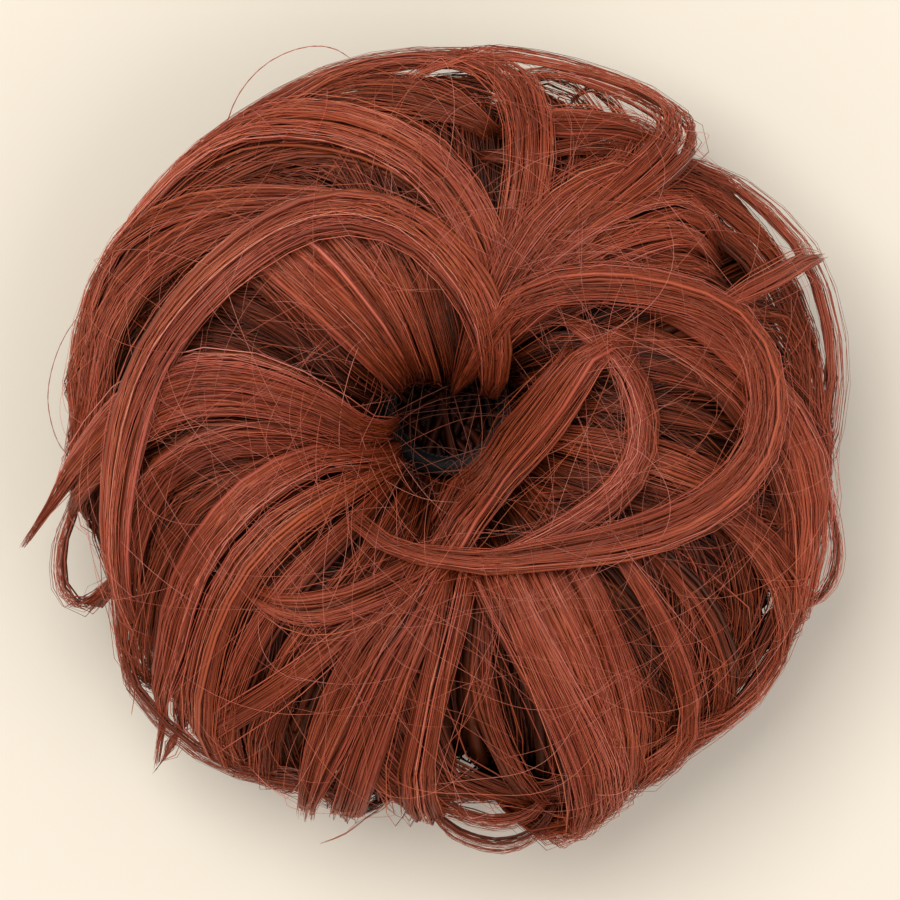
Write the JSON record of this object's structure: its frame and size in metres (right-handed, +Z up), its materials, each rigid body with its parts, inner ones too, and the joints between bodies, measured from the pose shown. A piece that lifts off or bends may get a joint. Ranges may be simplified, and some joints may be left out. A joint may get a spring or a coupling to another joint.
{
  "type": "top knot hairpiece",
  "caption": "Messy-bun hairpiece: curled copper-red synthetic locks looped out of a middle hole over a puffy ring of hair, sewn on a weft round a black elastic, lying flat.",
  "frame": {"origin": "on the surface that the hairpiece lies on, under the middle of its bounding box; the hole and the elastic are centred at x 1.6 mm, y 7.0 mm", "axes": "+Z up out of the top of the bun, away from the surface; +X to the right and +Y to the top of the picture"},
  "size_m": [0.1508, 0.1481, 0.058],
  "materials": {
    "hair_locks": "satin copper-red synthetic hair fibre",
    "hair_under": "satin copper-red synthetic hair fibre, shaded",
    "hair_core": "matte dense dark red-brown hair",
    "weft": "matte sewn hair weft",
    "elastic": "matte black knitted elastic"
  },
  "bodies": {
    "root": {"edge_upper_left": "hair_locks", "elastic_band": "elastic", "hair_core": "hair_core", "lock_bottom_bright": "hair_locks", "lock_bottom_left": "hair_locks", "lock_bottom_middle": "hair_locks", "lock_crossing": "hair_locks", "lock_left_crown": "hair_locks", "lock_left_fan": "hair_locks", "lock_left_low": "hair_locks", "lock_long_left": "hair_locks", "lock_lower_left": "hair_locks", "lock_lower_right": "hair_locks", "lock_right_edge": "hair_locks", "lock_right_lower_arc": "hair_locks", "lock_right_side": "hair_locks", "lock_top": "hair_locks", "lock_top_fan": "hair_locks", "lock_top_left": "hair_locks", "lock_top_right_fan": "hair_locks", "lock_upper_left": "hair_locks", "loop_bottom": "hair_locks", "loop_left": "hair_locks", "loop_right": "hair_locks", "loop_top_right": "hair_locks", "sweep_inner_arc": "hair_locks", "sweep_left_arc": "hair_locks", "sweep_right_arc": "hair_locks", "tuft_right": "hair_locks", "under_lock_bottom": "hair_under", "under_lock_bottom_left": "hair_under", "under_lock_bottom_middle": "hair_under", "under_lock_bottom_right": "hair_under", "under_lock_left": "hair_under", "under_lock_left_high": "hair_under", "under_lock_left_low": "hair_under", "under_lock_lower_left": "hair_under", "under_lock_lower_left_high": "hair_under", "under_lock_lower_right": "hair_under", "under_lock_lower_right_high": "hair_under", "under_lock_right": "hair_under", "under_lock_right_high": "hair_under", "under_lock_right_low": "hair_under", "under_lock_top": "hair_under", "under_lock_top_left": "hair_under", "under_lock_top_right": "hair_under", "under_lock_top_right_low": "hair_under", "under_lock_upper_left": "hair_under", "under_lock_upper_left_high": "hair_under", "weft_ring": "weft"}
  },
  "joints": []
}
